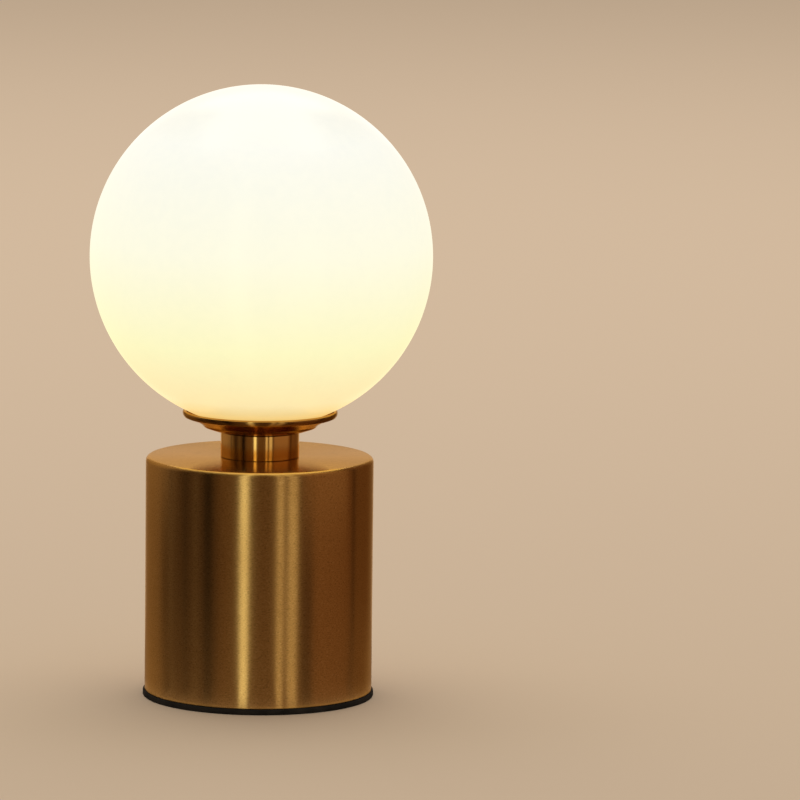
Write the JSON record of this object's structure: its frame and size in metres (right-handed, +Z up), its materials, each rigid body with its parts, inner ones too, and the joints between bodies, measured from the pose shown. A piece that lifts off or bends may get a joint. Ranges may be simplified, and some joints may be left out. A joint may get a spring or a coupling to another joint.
{
  "type": "table lamp",
  "caption": "Table lamp with a round opal glass globe in a small brass dish on a short polished neck, over a tall brushed brass drum base with a soft black foot.",
  "frame": {"origin": "centre of the foot pad's underside, on the table", "axes": "+Z up along the lamp's axis, +Y towards the cord inlet at the back, so the picture looks along +Y"},
  "size_m": [0.15, 0.15, 0.2694],
  "materials": {
    "foot_foam": "matt foam",
    "brushed_brass": "brushed round the can",
    "polished_brass": "polished",
    "dish_brass": "satin",
    "zinc_steel": "zinc plated",
    "cast_iron": "rough",
    "black_rubber": "satin",
    "cream_plastic": "moulded",
    "plated_screw": "plated",
    "brown_lead": "sleeved",
    "blue_lead": "sleeved",
    "earth_lead": "sleeved",
    "clear_silicone": "translucent",
    "spring_steel": "rolled",
    "black_moulding": "moulded",
    "nickel_shell": "nickel plated",
    "contact_brass": "stamped",
    "tip_solder": "soldered",
    "black_insulator": "vitreous",
    "white_moulding": "moulded",
    "opal_plastic": "frosted",
    "board_aluminium": "white coated",
    "green_board": "circuit board",
    "capacitor_sleeve": "sleeved",
    "coil_former": "wound",
    "led_phosphor": "coated",
    "opal_glass": "opal, lit from inside"
  },
  "bodies": {
    "lamp_base": {"ballast": "cast_iron", "ballast_nut_lower": "zinc_steel", "ballast_nut_upper": "zinc_steel", "ballast_washer_lower": "zinc_steel", "ballast_washer_upper": "zinc_steel", "base_can": "brushed_brass", "can_lock_nut": "zinc_steel", "can_washer": "zinc_steel", "centre_contact": "contact_brass", "closing_plate": "zinc_steel", "cord_grommet": "black_rubber", "earth_lead": "earth_lead", "earth_lug": "zinc_steel", "foot_pad": "foot_foam", "globe_clip": "spring_steel", "globe_dish": "dish_brass", "globe_seat_ring": "clear_silicone", "holder_body": "black_moulding", "holder_cap": "black_moulding", "holder_screw_shell": "nickel_shell", "live_lead": "brown_lead", "live_strap_screw": "plated_screw", "neck_sleeve": "polished_brass", "neutral_lead": "blue_lead", "neutral_strap_screw": "plated_screw", "plate_screw_1": "zinc_steel", "plate_screw_2": "zinc_steel", "plate_screw_3": "zinc_steel", "shade_ring": "black_moulding", "shell_contact": "contact_brass", "terminal_block": "cream_plastic", "terminal_block_screw": "plated_screw", "terminal_screw_1": "plated_screw", "terminal_screw_2": "plated_screw", "terminal_screw_3": "plated_screw", "terminal_screw_4": "plated_screw", "terminal_screw_5": "plated_screw", "terminal_screw_6": "plated_screw", "threaded_tube": "zinc_steel"},
    "globe": {"globe": "opal_glass"},
    "bulb_tip": {"bulb_tip_contact": "tip_solder", "bulb_insulator": "black_insulator"},
    "bulb": {"bulb_diffuser": "opal_plastic", "bulb_driver_board": "green_board", "bulb_driver_capacitor": "capacitor_sleeve", "bulb_driver_coil": "coil_former", "bulb_housing": "white_moulding", "bulb_led_1": "led_phosphor", "bulb_led_2": "led_phosphor", "bulb_led_3": "led_phosphor", "bulb_led_4": "led_phosphor", "bulb_led_5": "led_phosphor", "bulb_led_6": "led_phosphor", "bulb_led_board": "board_aluminium", "bulb_screw_shell": "nickel_shell"}
  },
  "joints": [
    {"name": "globe_lift", "type": "slide", "parent": "lamp_base", "child": "globe", "axis": [0, 0, 1], "range_m": [0, 0.125]},
    {"name": "bulb_rise", "type": "slide", "parent": "lamp_base", "child": "bulb_tip", "axis": [0, 0, 1], "range_m": [0, 0.01412]},
    {"name": "bulb_turn", "type": "hinge", "parent": "bulb_tip", "child": "bulb", "pos_m": [0, 0, 0.134], "axis": [0, 0, 1], "range_deg": [0, 1800]}
  ],
  "couplings": [
    {"joint": "bulb_rise", "follows": "bulb_turn", "m_per_rad": 0.00044913}
  ]
}
